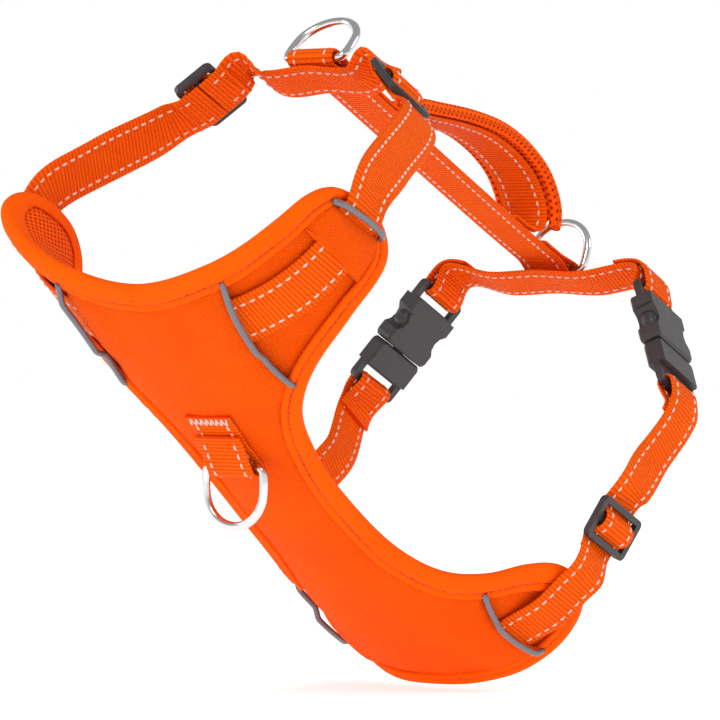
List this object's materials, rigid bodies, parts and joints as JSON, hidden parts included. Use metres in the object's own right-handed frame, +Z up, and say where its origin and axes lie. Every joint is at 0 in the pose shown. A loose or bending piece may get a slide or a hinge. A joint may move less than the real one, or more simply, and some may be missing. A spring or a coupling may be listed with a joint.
{
  "type": "no pull dog harness",
  "caption": "Padded dog harness: four-armed chest plate, webbing neck and girth loops, side-release buckles, sliders, leash rings and a padded back handle.",
  "frame": {"origin": "middle of the dog's chest inside the harness, between the shoulders and the last ribs", "axes": "+X to the dog's left, +Z up with the dog's body pitched nose-up by 26.2 degrees, tail towards +Y"},
  "size_m": [0.1916, 0.3404, 0.3083],
  "materials": {
    "orange": "woven orange polyester cloth and webbing",
    "binding": "smooth orange binding tape",
    "mesh": "orange air mesh",
    "foam": "pale foam padding",
    "reflective": "grey reflective piping",
    "plastic": "satin charcoal acetal",
    "chrome": "polished nickel plate"
  },
  "bodies": {
    "harness_body": {"chest_lining": "mesh", "chest_foam": "foam", "chest_base": "orange", "chest_binding": "binding", "chest_panel": "orange", "shoulder_sleeve_right": "orange", "piping_shoulder_right": "reflective", "piping_sleeve_right": "reflective", "piping_belly_right": "reflective", "neck_strap_right": "orange", "buckle_body_right": "plastic", "girth_strap_right": "orange", "belly_strap_right": "orange", "shoulder_sleeve_left": "orange", "piping_shoulder_left": "reflective", "piping_sleeve_left": "reflective", "piping_belly_left": "reflective", "neck_strap_left": "orange", "buckle_body_left": "plastic", "girth_strap_left": "orange", "belly_strap_left": "orange", "front_cross_strap": "orange", "rear_cross_strap": "orange", "spine_strap": "orange", "chest_tab": "orange", "handle_webbing": "orange"},
    "front_ring_body": {"front_ring": "chrome"},
    "rear_ring_body": {"rear_ring": "chrome"},
    "chest_ring_body": {"chest_ring": "chrome"},
    "handle_body": {"handle_pad": "mesh", "handle_roll_left": "mesh", "handle_roll_right": "mesh"},
    "neck_slider_left_body": {"neck_slider_left": "plastic"},
    "girth_slider_left_body": {"girth_slider_left": "plastic"},
    "plug_left_body": {"buckle_plug_left": "plastic"},
    "prong_front_left_body": {"buckle_prong_front_left": "plastic"},
    "prong_rear_left_body": {"buckle_prong_rear_left": "plastic"},
    "neck_slider_right_body": {"neck_slider_right": "plastic"},
    "girth_slider_right_body": {"girth_slider_right": "plastic"},
    "plug_right_body": {"buckle_plug_right": "plastic"},
    "prong_front_right_body": {"buckle_prong_front_right": "plastic"},
    "prong_rear_right_body": {"buckle_prong_rear_right": "plastic"}
  },
  "joints": [
    {"name": "front_ring_swing", "type": "hinge", "parent": "harness_body", "child": "front_ring_body", "pos_m": [0, -0.05767, 0.13648], "axis": [1, 0, 0], "range_deg": [-42, 60]},
    {"name": "rear_ring_swing", "type": "hinge", "parent": "harness_body", "child": "rear_ring_body", "pos_m": [0, 0.13838, 0.04113], "axis": [1, 0, 0], "range_deg": [-60, 30]},
    {"name": "chest_ring_swing", "type": "hinge", "parent": "harness_body", "child": "chest_ring_body", "pos_m": [0, -0.11603, -0.04554], "axis": [1, 0, 0], "range_deg": [-30, 45]},
    {"name": "handle_flop", "type": "hinge", "parent": "harness_body", "child": "handle_body", "pos_m": [0, 0.04371, 0.08883], "axis": [0, 0.8973, -0.4415], "range_deg": [-30, 30], "deforming": ["handle_webbing"]},
    {"name": "neck_adjust_left", "type": "slide", "parent": "harness_body", "child": "neck_slider_left_body", "axis": [-0.7311, 0.3012, 0.6121], "range_m": [-0.012, 0.008], "deforming": ["neck_strap_left", "front_cross_strap"]},
    {"name": "girth_adjust_left", "type": "slide", "parent": "harness_body", "child": "girth_slider_left_body", "axis": [0.2955, 0.4218, 0.8572], "range_m": [0, 0.03], "deforming": ["girth_strap_left", "belly_strap_left"]},
    {"name": "buckle_release_left", "type": "slide", "parent": "harness_body", "child": "plug_left_body", "axis": [0.4794, -0.3875, -0.7874], "range_m": [0, 0.03], "deforming": ["girth_strap_left"]},
    {"name": "prong_front_left_flex", "type": "hinge", "parent": "plug_left_body", "child": "prong_front_left_body", "pos_m": [0.0774, 0.1089, 0.00728], "axis": [0.8776, 0.2117, 0.4302], "range_deg": [-9, 0], "stiffness_Nm_per_rad": 0.5},
    {"name": "prong_rear_left_flex", "type": "hinge", "parent": "plug_left_body", "child": "prong_rear_left_body", "pos_m": [0.0774, 0.12595, -0.00111], "axis": [0.8776, 0.2117, 0.4302], "range_deg": [0, 9], "stiffness_Nm_per_rad": 0.5},
    {"name": "neck_adjust_right", "type": "slide", "parent": "harness_body", "child": "neck_slider_right_body", "axis": [0.7311, 0.3012, 0.6121], "range_m": [-0.012, 0.008], "deforming": ["neck_strap_right", "front_cross_strap"]},
    {"name": "girth_adjust_right", "type": "slide", "parent": "harness_body", "child": "girth_slider_right_body", "axis": [-0.2955, 0.4218, 0.8572], "range_m": [0, 0.03], "deforming": ["girth_strap_right", "belly_strap_right"]},
    {"name": "buckle_release_right", "type": "slide", "parent": "harness_body", "child": "plug_right_body", "axis": [-0.4794, -0.3875, -0.7874], "range_m": [0, 0.03], "deforming": ["girth_strap_right"]},
    {"name": "prong_front_right_flex", "type": "hinge", "parent": "plug_right_body", "child": "prong_front_right_body", "pos_m": [-0.0774, 0.1089, 0.00728], "axis": [0.8776, -0.2117, -0.4302], "range_deg": [-9, 0], "stiffness_Nm_per_rad": 0.5},
    {"name": "prong_rear_right_flex", "type": "hinge", "parent": "plug_right_body", "child": "prong_rear_right_body", "pos_m": [-0.0774, 0.12595, -0.00111], "axis": [0.8776, -0.2117, -0.4302], "range_deg": [0, 9], "stiffness_Nm_per_rad": 0.5}
  ],
  "couplings": [
    {"joint": "prong_front_left_flex", "follows": "prong_rear_left_flex", "ratio": -1},
    {"joint": "prong_front_right_flex", "follows": "prong_rear_right_flex", "ratio": -1}
  ]
}
